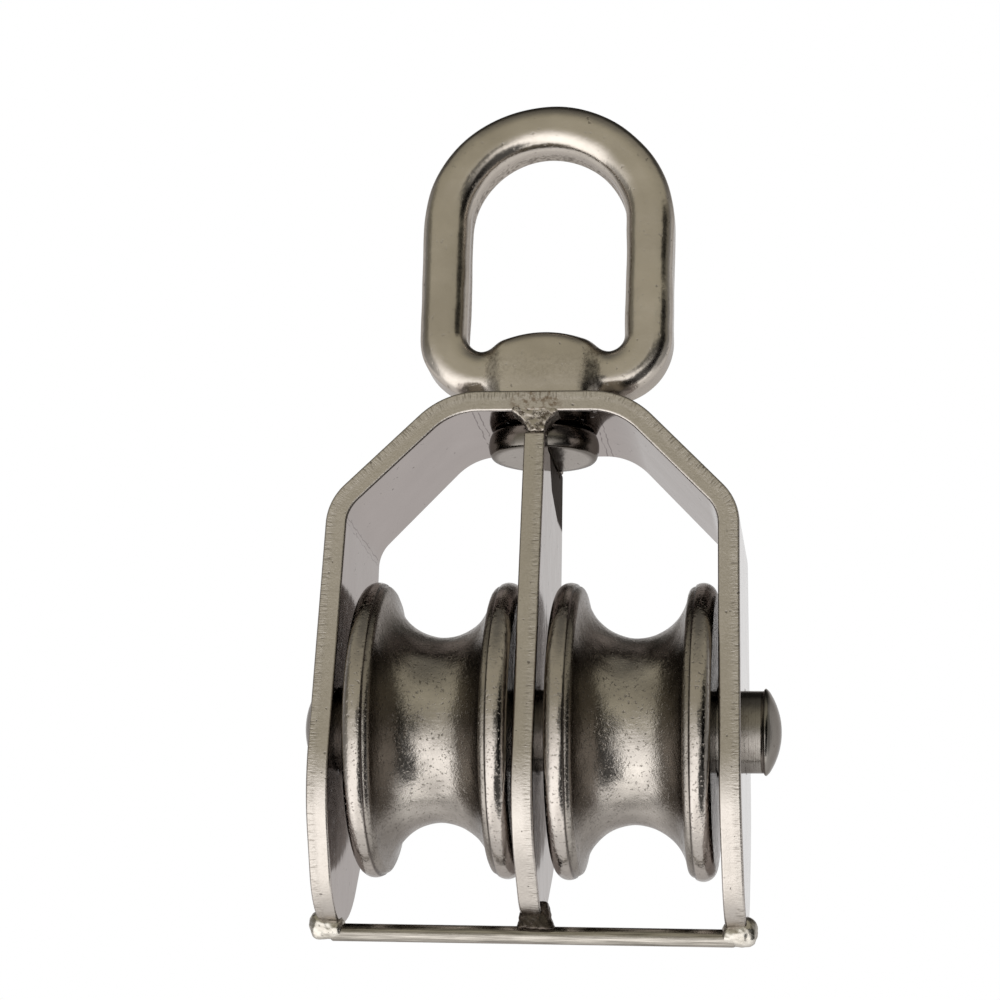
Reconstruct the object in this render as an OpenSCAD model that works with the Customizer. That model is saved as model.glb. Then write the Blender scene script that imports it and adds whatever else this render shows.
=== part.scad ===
// Double sheave block with a swivel eye: two grooved sheaves side by side on one axle,
// in a frame bent from one strap, with a centre plate, a guard rod and a swivelling eye.
// Heights below are given from the axle. The model's origin is where the eye bears on its hook.

/* [Sheaves] */
// Outer diameter of each sheave
sheave_d = 32; // [28:0.5:32]
// Width of each sheave over its rims
sheave_w = 17.2; // [16:0.1:17.8]
// Diameter at the bottom of the rope groove
root_d = 20.1; // [18:0.1:22]
// Radius of the rope groove at its bottom
groove_r = 5.7; // [5:0.1:5.7]
// Radius of the rounded rims
rim_r = 1.5; // [1:0.05:1.5]
// Distance by which the left sheave has slid along the axle, towards the centre plate
left_slide = 0.5; // [0:0.1:0.8]
// Distance by which the right sheave has slid along the axle, towards its cheek
right_slide = 0.2; // [0:0.1:0.8]

/* [Frame] */
// Thickness of the strap and the centre plate
plate_t = 2.3; // [1.8:0.1:2.4]
// Clear width of each sheave bay at the axle
bay_w = 19; // [18.4:0.1:20]
// Angle by which the cheeks spread towards their tips
splay = 1; // [0:0.1:2]
// Width of the cheeks and the centre plate at their widest, front to back
cheek_w = 26.4; // [24:0.2:28]
// Distance from the axle down to where they are widest
belly_drop = 5; // [0:0.5:6]
// Width of the strap at the crown, front to back
waist_w = 19; // [17.6:0.2:20]
// Height of the inner corner between cheek and shoulder
shoulder_h = 22; // [21:0.1:23]
// Height of the underside of the crown
crown_h = 33.1; // [32.6:0.1:34]
// Distance between the inner corners of the crown
crown_w = 17.8; // [16:0.2:19]
// Inner bend radius between cheek and shoulder
shoulder_bend_r = 4; // [3:0.5:5]
// Inner bend radius between shoulder and crown
crown_bend_r = 6.8; // [5:0.2:8]
// Distance from the axle down to the tips of the cheeks
cheek_drop = 21; // [20.6:0.1:21.4]
// Distance from the axle down to the tip of the centre plate
plate_drop = 20; // [19:0.1:20.4]
// Radius of the rounded tips of the cheeks
tip_r = 9.6; // [6:0.2:10]
// Radius of the rounded tip of the centre plate
plate_tip_r = 6.6; // [5:0.2:8]

/* [Axle] */
// Diameter of the axle
axle_d = 8.8; // [7:0.1:9]
// Length of the plain end outside the right cheek
axle_out = 2; // [1:0.1:4]
// Diameter of the cap on the right end
cap_d = 9.3; // [9.2:0.1:10]
// Height of the straight rim of the cap
cap_rim = 0.35; // [0.2:0.05:0.8]
// Height of the dome of the cap
cap_dome = 1.5; // [0.6:0.1:1.6]
// Length of the plain end outside the left cheek
peen_out = 0.9; // [0.4:0.1:2]
// Radial running clearance of the sheaves on the axle
sheave_clearance = 0.07; // [0.03:0.01:0.1]

/* [Swivel eye] */
// Outer width of the eye
eye_w = 28.3; // [26:0.1:30]
// Thickness of the ring, seen from the front
ring_t = 5.4; // [5:0.1:6.2]
// Depth of the ring, front to back
ring_depth = 7; // [6.4:0.1:8]
// Corner radius of the ring's section
ring_corner_r = 2.3; // [1.8:0.1:2.6]
// Height of the point where the eye bears on its hook
bearing_h = 65.8; // [62:0.1:68]
// Radius of the lower corners of the ring, on its centre line
eye_corner_r = 4.6; // [4:0.1:5]
// Height of the underside of the ring
eye_foot_h = 36.8; // [36.6:0.1:38]
// Width of the boss
boss_w = 10.6; // [9.6:0.1:11]
// Depth of the boss, front to back
boss_depth = 9.4; // [8.8:0.1:10.5]
// Corner radius of the boss
boss_corner_r = 1.8; // [1.5:0.1:3]
// Height of the top edge of the boss, below its dome
boss_h = 42.1; // [41:0.1:44]
// Height of the dome on the boss
boss_dome = 2.4; // [1.5:0.1:3]

/* [Swivel pin] */
// Diameter of the shank
shank_d = 6.2; // [5:0.1:6.6]
// Depth of the shank in the boss
shank_depth = 7.2; // [5:0.1:8]
// Diameter of the head's flat face
head_face_d = 11.5; // [11:0.1:11.8]
// Radius by which the head's rim bulges
head_bulge = 0.35; // [0.2:0.05:0.45]
// Thickness of the head
head_t = 2.7; // [2:0.1:2.8]
// Radial running clearance of the shank in the crown
shank_clearance = 0.08; // [0.03:0.01:0.1]
// Gap above and below the crown
swivel_gap = 0.14; // [0.1:0.01:0.3]

/* [Guard rod] */
// Diameter of the guard rod
rod_d = 1.9; // [1.6:0.1:2.2]
// Length of the guard rod
rod_l = 43.2; // [42:0.1:44]

/* [Welds] */
// Width of the crown welds at the crown
crown_weld_w = 5; // [4:0.2:6]
// Length of the end welds along the rod
end_weld_l = 4; // [3.4:0.1:5]
// Length of the end welds outside the tips of the cheeks
end_weld_out = 1.1; // [0.6:0.1:1.6]
// Diameter of the end welds
end_weld_d = 3.4; // [3:0.1:3.8]
// Corner radius of the end welds
end_weld_r = 1.3; // [0.8:0.1:1.4]
// Width of the centre weld at the rod
rod_weld_w = 4; // [3:0.1:5]

/* [Hidden] */
$fn = 96;
// Length by which a cutter passes through what it cuts
overlap = 1;
// Depth by which one shape sinks into the next where the two would only touch
hair = 0.02;
// Length by which the strap's flats run into its bends
seam = 0.2;

sheave_r = sheave_d / 2;
sheave_pitch = bay_w + plate_t;
bore_r = axle_d / 2 + sheave_clearance;
rim_x = sheave_w / 2 - rim_r;
rim_h = sheave_r - rim_r;
groove_h = root_d / 2 + groove_r;

cheek_x = bay_w + plate_t / 2;
frame_x = cheek_x + plate_t;
crown_top = crown_h + plate_t;
corner_x = cheek_x - shoulder_h * tan(splay);
tip_x = frame_x + cheek_drop * tan(splay);
slope = atan2(crown_h - shoulder_h, corner_x - crown_w / 2);
lower_turn = 90 - slope - splay;
lower_setback = shoulder_bend_r * tan(lower_turn / 2);
upper_setback = crown_bend_r * tan(slope / 2);
shoulder_l = norm([corner_x - crown_w / 2, crown_h - shoulder_h]) - lower_setback - upper_setback;
cheek_l = shoulder_h / cos(splay) - lower_setback;
blank_w = cheek_w + 2 * overlap;

head_top = crown_h - swivel_gap;
head_r = head_face_d / 2 + head_bulge;
// Space round the swivel pin's head in the centre plate
notch_clearance = 0.45;
notch_w = 2 * (head_r + notch_clearance);
notch_floor = head_top - head_t - notch_clearance;
// Height of the centre plate's ears above the floor of its notch
ear_h = 1.05;
ear_top = notch_floor + ear_h;

ring_x = (eye_w - ring_t) / 2;
arch_h = bearing_h - (eye_w / 2 - ring_t);
foot_h = eye_foot_h + ring_t / 2;
boss_foot = crown_top + swivel_gap;
boss_r = norm([boss_w, boss_depth]) / 2;
dome_r = (pow(boss_r, 2) + pow(boss_dome, 2)) / (2 * boss_dome);

rod_h = -cheek_drop - rod_d / 2;

// Where a crown weld starts to flare: its half width in plate thicknesses, and how far up it is
weld_neck = 0.68;
weld_neck_h = 0.7;
// How far the centre weld stands out from the plate, reaches up it, and down and round the rod
weld_lip = 0.15;
weld_reach = 0.9;
weld_wrap = 0.3;
weld_depth = 0.8;

// A shape whose heights count from the axle, moved to the model's own origin
module from_axle() {
    translate([0, 0, -bearing_h]) children();
}

// A rounded rectangle, centred, made of straight sides and true arcs
module rounded_rectangle(w, h, r) {
    square([w - 2 * r, h], center = true);
    square([w, h - 2 * r], center = true);
    for (x = [-1, 1], y = [-1, 1]) {
        translate([x * (w / 2 - r), y * (h / 2 - r)]) circle(r = r);
    }
}

// A disc across the model, centred at a height above the axle
module disc(x, t, r, h) {
    translate([x, 0, h]) rotate([0, 90, 0]) cylinder(r = r, h = t);
}

// A cheek or the centre plate: a round belly, tapering up to a flat top and down to a rounded
// tip. The straight sides run a hair inside the two discs, so that each disc crosses them
// instead of only touching them.
module tongue(x, t, top, drop, tip) {
    r = cheek_w / 2;
    w = waist_w / 2;
    big = r - hair;
    small = tip - hair;
    rise = top + belly_drop;
    upper = atan2(rise, w) - acos(big / norm([w, rise]));
    lower = asin((r - tip) / (drop - tip - belly_drop));
    side = [
        [w, top],
        [0, -belly_drop] + big * [cos(upper), sin(upper)],
        [0, -belly_drop] + big * [cos(lower), -sin(lower)],
        [0, tip - drop] + small * [cos(lower), -sin(lower)]
    ];
    disc(x, t, r, -belly_drop);
    disc(x, t, tip, tip - drop);
    translate([x, 0, 0]) rotate([90, 0, 90]) linear_extrude(t) polygon([
        for (p = side) p,
        for (i = [len(side) - 1:-1:0]) [-side[i][0], side[i][1]]
    ]);
}

// An outline in the front view, made into a block between two depths
module front_block(from, to) {
    translate([0, to, 0]) rotate([90, 0, 0]) linear_extrude(to - from) children();
}

// A bend of the strap in the front view, about its own centre. It is a hair thicker than the
// flats, and they run a little way into it.
module bend(r, start, turn) {
    rotate([90, 0, 0]) rotate([0, 0, start]) rotate_extrude(angle = turn) {
        translate([r - hair, -blank_w / 2]) square([plate_t + 2 * hair, blank_w]);
    }
}

// The right side of the bent bar, before its sides are cut: cheek, bend, shoulder and bend
module half_bar() {
    drop = cheek_drop / cos(splay) + overlap;
    translate([cheek_x, 0, 0]) rotate([0, -splay, 0]) {
        translate([0, -blank_w / 2, -drop]) cube([plate_t, blank_w, drop + cheek_l + seam]);
        translate([-shoulder_bend_r, 0, cheek_l]) {
            bend(shoulder_bend_r, 0, lower_turn);
            rotate([0, -lower_turn, 0]) translate([shoulder_bend_r, -blank_w / 2, -seam]) {
                cube([plate_t, blank_w, shoulder_l + 2 * seam]);
            }
        }
    }
    translate([crown_w / 2 - upper_setback, 0, crown_h - crown_bend_r]) {
        bend(crown_bend_r, 90 - slope, slope);
    }
}

// A round bar along X, centred at a height above the axle
module bar(d, from, to, h = 0) {
    translate([from, 0, h]) rotate([0, 90, 0]) cylinder(d = d, h = to - from);
}

// The whole strap before any hole: a bent flat bar, with its sides cut to the tongue's outline
module whole_strap() {
    crown_l = crown_w - 2 * upper_setback + 2 * seam;
    intersection() {
        union() {
            half_bar();
            mirror([1, 0, 0]) half_bar();
            translate([-crown_l / 2, -blank_w / 2, crown_h]) cube([crown_l, blank_w, plate_t]);
        }
        tongue(-tip_x - overlap, 2 * (tip_x + overlap), crown_top + overlap, cheek_drop, tip_r);
    }
}

module strap_frame() {
    color("darkgray") from_axle() difference() {
        whole_strap();
        bar(axle_d, -frame_x - overlap, frame_x + overlap);
        translate([0, 0, crown_h - overlap]) {
            cylinder(r = shank_d / 2 + shank_clearance, h = plate_t + 2 * overlap);
        }
    }
}

// The centre plate: the same tongue, with a notch in its top that clears the swivel pin's head
module centre_plate() {
    color("silver") from_axle() difference() {
        tongue(-plate_t / 2, plate_t, ear_top, plate_drop, plate_tip_r);
        bar(axle_d, -plate_t, plate_t);
        translate([-plate_t, -notch_w / 2, notch_floor]) cube([2 * plate_t, notch_w, 2 * overlap]);
    }
}

// The half section of a sheave: X is the distance from its axis, Y the place along its width.
// Straight flanks join the rounded rims to the round bottom of the groove, a hair inside both.
module sheave_section() {
    groove = [groove_h, 0];
    rim = [rim_h, rim_x];
    across = groove_r + rim_r - 2 * hair;
    turn = atan2(rim_x, rim_h - groove_h) + acos(across / norm(rim - groove));
    normal = [cos(turn), sin(turn)];
    side = [
        groove + (groove_r - hair) * normal,
        rim - (rim_r - hair) * normal,
        [rim_h, sheave_w / 2],
        [bore_r, sheave_w / 2]
    ];
    difference() {
        union() {
            polygon([
                for (p = side) p,
                for (i = [len(side) - 1:-1:0]) [side[i][0], -side[i][1]]
            ]);
            for (y = [-rim_x, rim_x]) translate([rim_h, y]) circle(r = rim_r);
        }
        translate(groove) circle(r = groove_r);
    }
}

module sheave(x) {
    translate([x, 0, 0]) rotate([0, 90, 0]) rotate_extrude($fn = 128) sheave_section();
}

module left_sheave() {
    color("dimgray") from_axle() sheave(left_slide - sheave_pitch / 2);
}

module right_sheave() {
    color("dimgray") from_axle() sheave(right_slide + sheave_pitch / 2);
}

// The half section of an axle end: a plain length outside the cheek, then a wider domed cap
module axle_end(out) {
    cap_r = cap_d / 2;
    ball = (pow(cap_r, 2) + pow(cap_dome, 2)) / (2 * cap_dome);
    square([axle_d / 2, frame_x + out + cap_rim]);
    translate([0, frame_x + out]) square([cap_r, cap_rim]);
    intersection() {
        translate([0, frame_x + out + cap_rim + cap_dome - ball]) circle(r = ball);
        translate([0, frame_x + out + cap_rim]) square([cap_r + overlap, cap_dome + overlap]);
    }
}

module axle() {
    color("gray") from_axle() rotate([0, 90, 0]) rotate_extrude() {
        axle_end(axle_out);
        mirror([0, 1]) axle_end(peen_out);
    }
}

// One arm of the ring, from its arch down to the middle of its foot
module half_ring() {
    translate([ring_x, 0, foot_h + eye_corner_r]) linear_extrude(arch_h - foot_h - eye_corner_r) {
        rounded_rectangle(ring_t, ring_depth, ring_corner_r);
    }
    translate([ring_x - eye_corner_r, 0, foot_h + eye_corner_r]) rotate([90, 0, 0]) {
        rotate([0, 0, -90]) rotate_extrude(angle = 90) translate([eye_corner_r, 0]) {
            rounded_rectangle(ring_t, ring_depth, ring_corner_r);
        }
    }
    translate([0, 0, foot_h]) rotate([0, 90, 0]) linear_extrude(ring_x - eye_corner_r) {
        rounded_rectangle(ring_t, ring_depth, ring_corner_r);
    }
}

// The arched top of the ring
module arch() {
    translate([0, 0, arch_h]) rotate([90, 0, 0]) rotate_extrude(angle = 180) {
        translate([ring_x, 0]) rounded_rectangle(ring_t, ring_depth, ring_corner_r);
    }
}

// The boss: a rounded block with a shallow dome
module boss() {
    intersection() {
        translate([0, 0, boss_foot]) linear_extrude(boss_h + boss_dome - boss_foot) {
            rounded_rectangle(boss_w, boss_depth, boss_corner_r);
        }
        union() {
            translate([0, 0, boss_h + boss_dome - dome_r]) sphere(r = dome_r);
            translate([0, 0, boss_foot]) cylinder(r = boss_r + overlap, h = boss_h - boss_foot);
        }
    }
}

module swivel_eye() {
    color("gray") from_axle() difference() {
        union() {
            half_ring();
            mirror([1, 0, 0]) half_ring();
            arch();
            boss();
        }
        translate([0, 0, boss_foot - overlap]) cylinder(d = shank_d, h = shank_depth + overlap);
    }
}

// The swivel pin: a shank fixed in the boss, and a flat head with a bulging rim
module swivel_pin() {
    bulge_r = (pow(head_t / 2, 2) + pow(head_bulge, 2)) / (2 * head_bulge);
    color("dimgray") from_axle() {
        translate([0, 0, head_top]) cylinder(d = shank_d, h = boss_foot + shank_depth - head_top);
        translate([0, 0, head_top - head_t]) rotate_extrude() {
            square([head_face_d / 2, head_t]);
            intersection() {
                translate([head_r - bulge_r, head_t / 2]) circle(r = bulge_r);
                square([head_r, head_t]);
            }
        }
    }
}

module guard_rod() {
    color("silver") from_axle() bar(rod_d, -rod_l / 2, rod_l / 2, rod_h);
}

// A crown weld: it fills the space from an ear of the centre plate up to the crown,
// and widens upwards
module crown_weld(from, to) {
    neck_h = ear_top + weld_neck_h * (crown_h - ear_top);
    front_block(from, to) polygon([
        [-plate_t / 2, ear_top],
        [plate_t / 2, ear_top],
        [plate_t * weld_neck, neck_h],
        [crown_weld_w / 2, crown_h],
        [-crown_weld_w / 2, crown_h],
        [-plate_t * weld_neck, neck_h]
    ]);
}

module front_crown_weld() {
    color("dimgray") from_axle() crown_weld(-waist_w / 2, -notch_w / 2);
}

module rear_crown_weld() {
    color("dimgray") from_axle() crown_weld(notch_w / 2, waist_w / 2);
}

// An end weld: a rounded bead that holds the rod's end and the tip of a cheek inside it
module rod_end_weld() {
    r = end_weld_d / 2;
    translate([tip_x + end_weld_out - end_weld_l / 2, 0, rod_h + r - rod_d / 2]) {
        rotate([0, 90, 0]) rotate_extrude() intersection() {
            rounded_rectangle(end_weld_d, end_weld_l, end_weld_r);
            translate([0, -end_weld_l / 2]) square([r, end_weld_l]);
        }
    }
}

module left_rod_weld() {
    color("silver") from_axle() rotate([0, 0, 180]) rod_end_weld();
}

module right_rod_weld() {
    color("silver") from_axle() rod_end_weld();
}

// The centre weld: a flared fillet between the centre plate's tip and the rod
module centre_rod_weld() {
    top = weld_reach - plate_drop;
    foot = rod_h + rod_d * weld_wrap;
    color("dimgray") from_axle() difference() {
        front_block(-rod_d * weld_depth, rod_d * weld_depth) polygon([
            [-plate_t / 2 - weld_lip, top],
            [plate_t / 2 + weld_lip, top],
            [rod_weld_w / 2, foot],
            [-rod_weld_w / 2, foot]
        ]);
        tongue(-plate_t / 2, plate_t, ear_top, plate_drop, plate_tip_r);
        bar(rod_d, -rod_l / 2, rod_l / 2, rod_h);
    }
}

swivel_eye();
swivel_pin();
strap_frame();
centre_plate();
axle();
left_sheave();
right_sheave();
guard_rod();
front_crown_weld();
rear_crown_weld();
left_rod_weld();
right_rod_weld();
centre_rod_weld();
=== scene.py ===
import math
from itertools import product

import bpy
import numpy as np
from mathutils import Matrix, Vector
from mathutils.geometry import delaunay_2d_cdt


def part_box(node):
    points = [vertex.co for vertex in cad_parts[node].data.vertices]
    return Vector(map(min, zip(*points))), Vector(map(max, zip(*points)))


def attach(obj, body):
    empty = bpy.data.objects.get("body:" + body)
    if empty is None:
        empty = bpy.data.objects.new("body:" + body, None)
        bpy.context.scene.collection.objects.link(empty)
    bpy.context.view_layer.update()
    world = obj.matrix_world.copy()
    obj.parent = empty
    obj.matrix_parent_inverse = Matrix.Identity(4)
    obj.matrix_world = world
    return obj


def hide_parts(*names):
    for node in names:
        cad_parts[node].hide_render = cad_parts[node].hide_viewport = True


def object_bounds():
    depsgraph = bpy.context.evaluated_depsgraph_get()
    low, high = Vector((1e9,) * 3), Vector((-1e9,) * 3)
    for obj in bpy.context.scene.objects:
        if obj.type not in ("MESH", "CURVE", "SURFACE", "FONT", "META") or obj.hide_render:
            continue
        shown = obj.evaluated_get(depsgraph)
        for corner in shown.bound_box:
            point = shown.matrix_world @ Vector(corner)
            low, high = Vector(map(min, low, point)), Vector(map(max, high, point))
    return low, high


# The double sheave block's looks. Shapes are worked out in millimetres from the axle's centre,
# with +X along the axle and +Z up the swivel axis, and are moved into the frame at the end.

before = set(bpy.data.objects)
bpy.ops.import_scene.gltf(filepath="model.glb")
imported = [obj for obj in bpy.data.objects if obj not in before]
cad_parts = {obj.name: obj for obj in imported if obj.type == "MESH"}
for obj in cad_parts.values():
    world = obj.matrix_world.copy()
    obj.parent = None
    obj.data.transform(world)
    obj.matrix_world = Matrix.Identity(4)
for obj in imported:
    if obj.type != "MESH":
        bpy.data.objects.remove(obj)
CAD_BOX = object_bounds()
MM = 0.001


def node_box(node):
    """A CAD node's lowest and highest corners, in millimetres from the axle's centre."""
    low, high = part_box(node)
    return (np.array(low) - AXLE) / MM, (np.array(high) - AXLE) / MM


axle_low, axle_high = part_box("axle")
AXLE = np.array([0, 0, (axle_low.z + axle_high.z) / 2])

# Sizes and places that the frame's boxes don't give, in millimetres
SHEET_T = 2.3
BAY_W = 19.0
EDGE_R = 0.28
CHEEK_W = 26.4
WAIST_W = 19.0
TIP_R = 9.6
PLATE_TIP_R = 6.6
BELLY_DROP = 5.0
SHOULDER_H = 22.0
CROWN_H = 33.1
CROWN_W = 17.8
SHOULDER_BEND_R = 4.0
CROWN_BEND_R = 6.8
SPLAY = math.radians(1.0)
AXLE_D = 8.8
RING_DEPTH = 7.0
RING_CORNER_R = 2.2
RING_BEND_R = 4.6
BOSS_W = 10.6
BOSS_CORNER_R = 1.6
BOSS_H = 42.1
BOSS_DOME = 2.4
EYE_FOOT_H = 36.8
ROOT_D = 20.1
GROOVE_R = 5.7
PIN_HOLE_R = 3.2
NOTCH_CLEARANCE = 0.45
WELD_PROUD = 0.16
SHEAVE_CLEARANCE = 0.07
AXLE_DOME = 1.5
FLOOR_GAP = 400
FLOOR_HALF = 500
WASH_AT = (0, 0, -220)
WASH_SIZE = 600
WASH_POWER = 2.2

# The room that the metal reflects, by direction. Its front and back halves are lists of (height
# of the direction, brightness, warmth), and ROOM_TURN is where y passes from one to the other.
ROOM_FRONT = (
    (-1, 1.4, 0.1),
    (-0.85, 2.6, 0.0),
    (-0.5, 2.2, 0.0),
    (-0.3, 1.5, 0.1),
    (-0.05, 0.85, 0.5),
    (0.2, 0.6, 0.9),
    (0.6, 0.6, 1.0),
    (0.85, 0.35, 0.8),
    (1, 0.15, 0.5),
)
ROOM_BACK = (
    (-1, 1.15, 0.0),
    (-0.5, 1.05, 0.0),
    (0.3, 0.95, 0.0),
    (0.5, 0.3, 0.3),
    (0.7, 0.03, 0.5),
    (1, 0.04, 0.5),
)
ROOM_WARMTH = (1.0, 0.95, 0.76)
ROOM_TURN = (-0.1, 0.35)
# The sides darken between the first two values of |x|, down to the third value's share
ROOM_SIDES = (0.80, 0.92, 0.38)
# Dark things in the room: direction, outer and inner half angle in degrees, what is left of it
ROOM_SPOTS = (
    ((0.88, -0.45, 0.12), 24, 14, 0.04),
    ((0.88, -0.45, -0.15), 22, 12, 0.05),
    ((0.66, -0.42, -0.62), 32, 21, 0.05),
    ((0.60, -0.80, -0.03), 14, 8, 0.12),
    ((0.32, -0.95, -0.03), 12, 6, 0.15),
    ((0.29, -0.46, -0.84), 9, 4, 0.15),
)
# The white back wall fades in between these values of y
ROOM_WALL = (0.80, 0.88)
ROOM_POWER = 3.0
WHITE_WALL = (1 / ROOM_POWER,) * 3

# The camera's place in millimetres from the axle, its yaw, pitch and roll in radians, its lens
CAMERA_AT = (35.65, -310.0, -52.67)
CAMERA_TURN = (0.1296, 0.2455, -0.0293)
CAMERA_LENS = 105.3

# Colours of the steel: its tint at grazing angles, the sheet's faces and its sheared edges
EDGE_TINT = (0.6, 0.58, 0.57)
FACE_COLOURS = ((0.42, 0.385, 0.37), (0.49, 0.45, 0.435))
EDGE_COLOURS = ((0.34, 0.31, 0.275), (0.56, 0.515, 0.475))


# ---------------------------------------------------------------- mesh helpers


def lumps(points, size, seed, waves=14):
    """Smooth random unevenness from -1 to 1: plane waves about one size long, summed."""
    rng = np.random.default_rng(seed)
    total = np.zeros(len(points))
    for _ in range(waves):
        direction = rng.normal(size=3)
        direction *= 2 * math.pi / (size * rng.uniform(0.7, 1.6) * np.linalg.norm(direction))
        total += np.sin(points @ direction + rng.uniform(0, 2 * math.pi))
    return total / math.sqrt(waves)


def build(name, points, faces, normals=None, marks=None):
    """A smooth mesh object from points in millimetres, with its marks as point attributes."""
    mesh = bpy.data.meshes.new(name)
    mesh.from_pydata((points * MM + AXLE).tolist(), [], [list(map(int, f)) for f in faces])
    mesh.polygons.foreach_set("use_smooth", [True] * len(mesh.polygons))
    for mark, values in (marks or {}).items():
        kind = "FLOAT" if np.ndim(values) == 1 else "FLOAT_VECTOR"
        layer = mesh.attributes.new(mark, kind, "POINT")
        layer.data.foreach_set("value" if kind == "FLOAT" else "vector", np.ravel(values))
    mesh.validate()
    mesh.update()
    if normals is not None:
        mesh.normals_split_custom_set_from_vertices([tuple(n) for n in normals])
    piece = bpy.data.objects.new(name, mesh)
    bpy.context.scene.collection.objects.link(piece)
    return piece


def finish_piece(piece, node, body, material):
    """Gives a piece its finish, hangs it on its body and hides the CAD part it stands for."""
    piece.data.materials.append(material)
    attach(piece, body)
    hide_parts(node)
    return piece


def arc(centre, radius, start, end, count):
    """Points along an arc, from one angle to another, in degrees."""
    a = np.radians(np.linspace(start, end, count))
    return np.stack([centre[0] + radius * np.cos(a), centre[1] + radius * np.sin(a)], -1)


def lathe(profile, steps):
    """Points and faces of a profile of (along, radius) turned about the X axis."""
    angle = np.arange(steps) * 2 * math.pi / steps
    along, radius = np.array(profile, float).T
    points = np.stack(
        [
            np.repeat(along, steps),
            np.outer(radius, np.cos(angle)).ravel(),
            np.outer(radius, np.sin(angle)).ravel(),
        ],
        -1,
    )
    faces = []
    for j in range(len(profile) - 1):
        for i in range(steps):
            k = (i + 1) % steps
            faces.append([j * steps + i, (j + 1) * steps + i, (j + 1) * steps + k, j * steps + k])
    return points, faces


def close_lathe(points, faces, steps):
    """Adds a fan over each end ring of a lathe whose profile doesn't come back to its start."""
    last = len(points) - steps
    points = np.vstack([points, points[:steps].mean(0), points[last:].mean(0)])
    a, b = len(points) - 2, len(points) - 1
    for i in range(steps):
        k = (i + 1) % steps
        faces.append([a, i, k])
        faces.append([b, last + k, last + i])
    return points, faces


def gradient(distance, points, h=0.01):
    """The slope of a distance function at each point."""
    slope = np.zeros_like(points)
    for axis in range(3):
        step = np.zeros(3)
        step[axis] = h
        slope[:, axis] = (distance(points + step) - distance(points - step)) / (2 * h)
    return slope


def skin(distance, low, high, step, rounds=3):
    """Points and faces of the closed surface where distance() is zero, by surface nets.
    The points are evened out along the surface and moved onto it."""
    low = np.array(low, float)
    counts = np.ceil((np.array(high) - low) / step).astype(int) + 1
    axes = [low[i] + step * np.arange(counts[i]) for i in range(3)]
    grid = np.stack(np.meshgrid(*axes, indexing="ij"), -1)
    inside = distance(grid.reshape(-1, 3)).reshape(counts) < 0
    cells = counts - 1
    total = np.zeros(cells, int)
    for i, j, k in product((0, 1), repeat=3):
        total += inside[i : cells[0] + i, j : cells[1] + j, k : cells[2] + k]
    mixed = (total > 0) & (total < 8)
    index = np.full(cells, -1)
    index[mixed] = np.arange(mixed.sum())
    points = low + (np.argwhere(mixed) + 0.5) * step
    quads = []
    for axis in range(3):
        b, c = (axis + 1) % 3, (axis + 2) % 3
        order = np.moveaxis(inside, (axis, b, c), (0, 1, 2))
        number = np.moveaxis(index, (axis, b, c), (0, 1, 2))
        start, end = order[:-1, 1:-1, 1:-1], order[1:, 1:-1, 1:-1]
        around = [number[:, :-1, :-1], number[:, 1:, :-1], number[:, 1:, 1:], number[:, :-1, 1:]]
        out = start & ~end
        quads.append(np.stack([n[out] for n in around], -1))
        back = ~start & end
        quads.append(np.stack([n[back] for n in around[::-1]], -1))
    quads = np.vstack(quads)
    edges = np.vstack([quads[:, [i, (i + 1) % 4]] for i in range(4)])
    edges = np.unique(np.sort(edges, 1), axis=0)
    neighbours = np.bincount(edges.ravel(), minlength=len(points))[:, None]
    for turn in range(2 * rounds):
        if turn % 2 == 0:
            mean = np.zeros_like(points)
            for a, b in ((0, 1), (1, 0)):
                for axis in range(3):
                    mean[:, axis] += np.bincount(edges[:, a], points[edges[:, b], axis], len(points))
            points = points + 0.6 * (mean / neighbours - points)
        for _ in range(2):
            slope = gradient(distance, points)
            length = np.maximum((slope**2).sum(1), 0.05)
            points = points - (distance(points) / length)[:, None] * slope
    slope = gradient(distance, points)
    normals = slope / np.linalg.norm(slope, axis=1)[:, None]
    return points, quads, normals


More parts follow.
